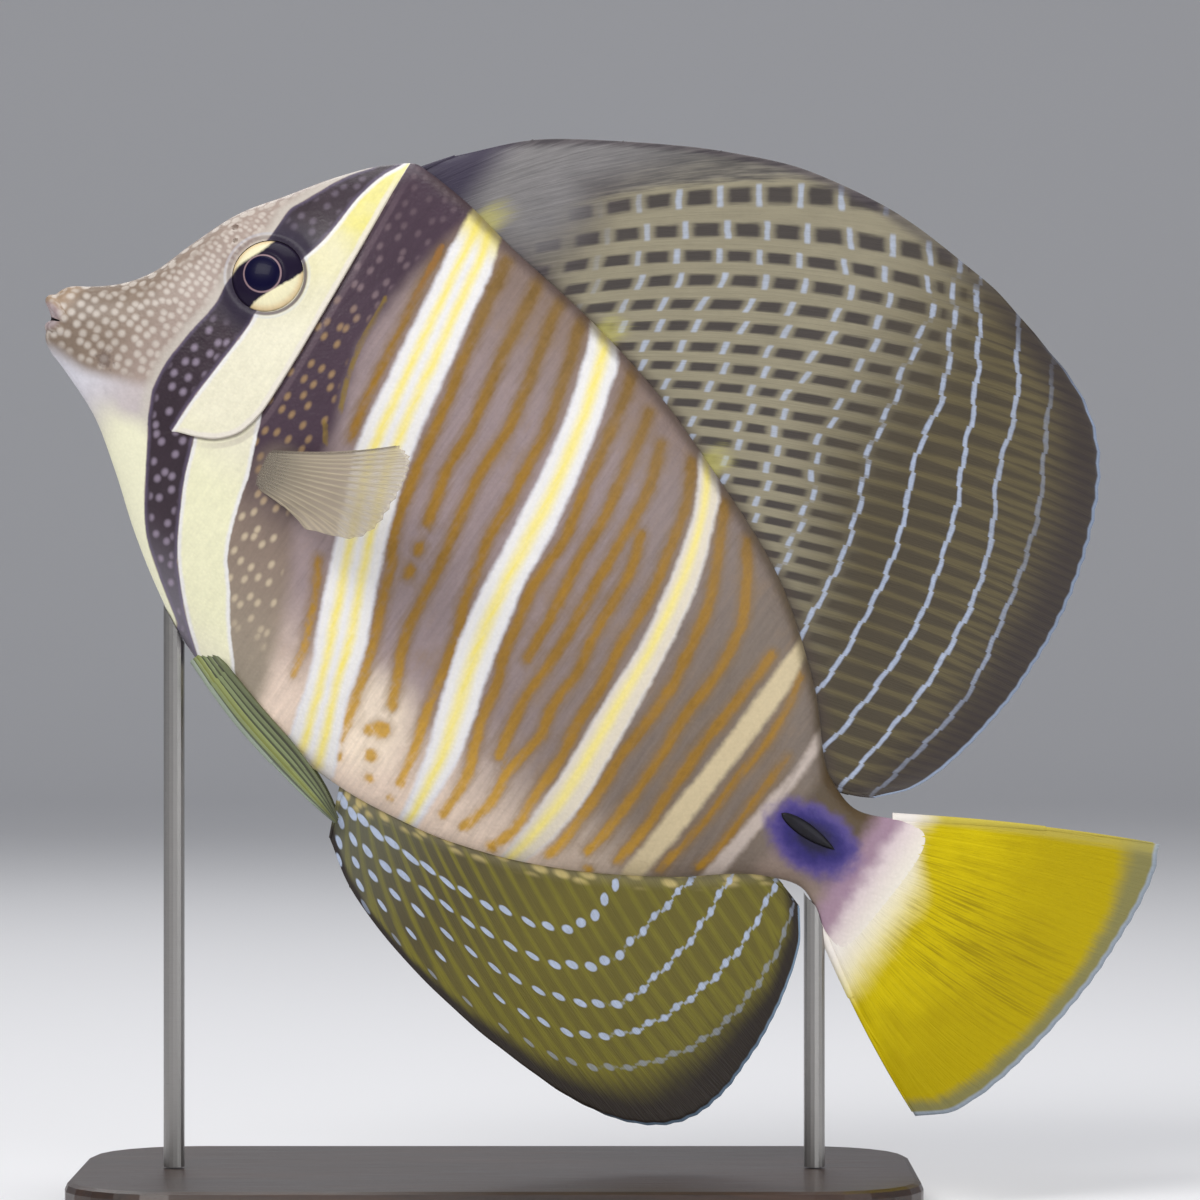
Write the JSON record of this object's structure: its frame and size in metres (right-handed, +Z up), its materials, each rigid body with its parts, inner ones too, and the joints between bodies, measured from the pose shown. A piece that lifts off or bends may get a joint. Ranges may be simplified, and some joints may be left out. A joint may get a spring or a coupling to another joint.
{
  "type": "sailfin tang model",
  "caption": "Life-size still model of a live sailfin tang, nose up with its sail fins spread, held over a flat base by upright rods.",
  "frame": {"origin": "on the floor, below the middle of the whole model's length and width", "axes": "+Z up, -X the way the nose points, -Y the fish's left side"},
  "size_m": [0.223, 0.092, 0.2139],
  "materials": {
    "head": "wet satin, tan with pale spots and dark and cream bars",
    "torso": "wet satin, grey-mauve with orange lines and white and yellow bars",
    "tail_stalk": "wet satin, brown and gold with a blue-violet patch",
    "dorsal_fin": "wet satin, olive-brown with rows of blue-white dashes",
    "anal_fin": "wet satin, olive with rows of blue-white dots",
    "tail_fin": "wet satin, lemon yellow, white at the root",
    "pectoral_fin": "thin and slightly see-through, grey-cream",
    "pelvic_fin": "wet satin, olive-green",
    "eye": "clear gloss over a dark pupil and a cream and black iris",
    "tail_spine": "satin black",
    "stand_base": "dark stained, satin",
    "stand_rod": "brushed"
  },
  "bodies": {
    "root": {"head": "head", "torso": "torso", "tail_stalk": "tail_stalk", "dorsal_fin": "dorsal_fin", "anal_fin": "anal_fin", "tail_fin": "tail_fin", "pectoral_fin_left": "pectoral_fin", "pectoral_fin_right": "pectoral_fin", "pelvic_fin_left": "pelvic_fin", "pelvic_fin_right": "pelvic_fin", "eye_left": "eye", "eye_right": "eye", "tail_spine_left": "tail_spine", "tail_spine_right": "tail_spine", "stand_base": "stand_base", "stand_rod_front": "stand_rod", "stand_rod_rear": "stand_rod"}
  },
  "joints": []
}
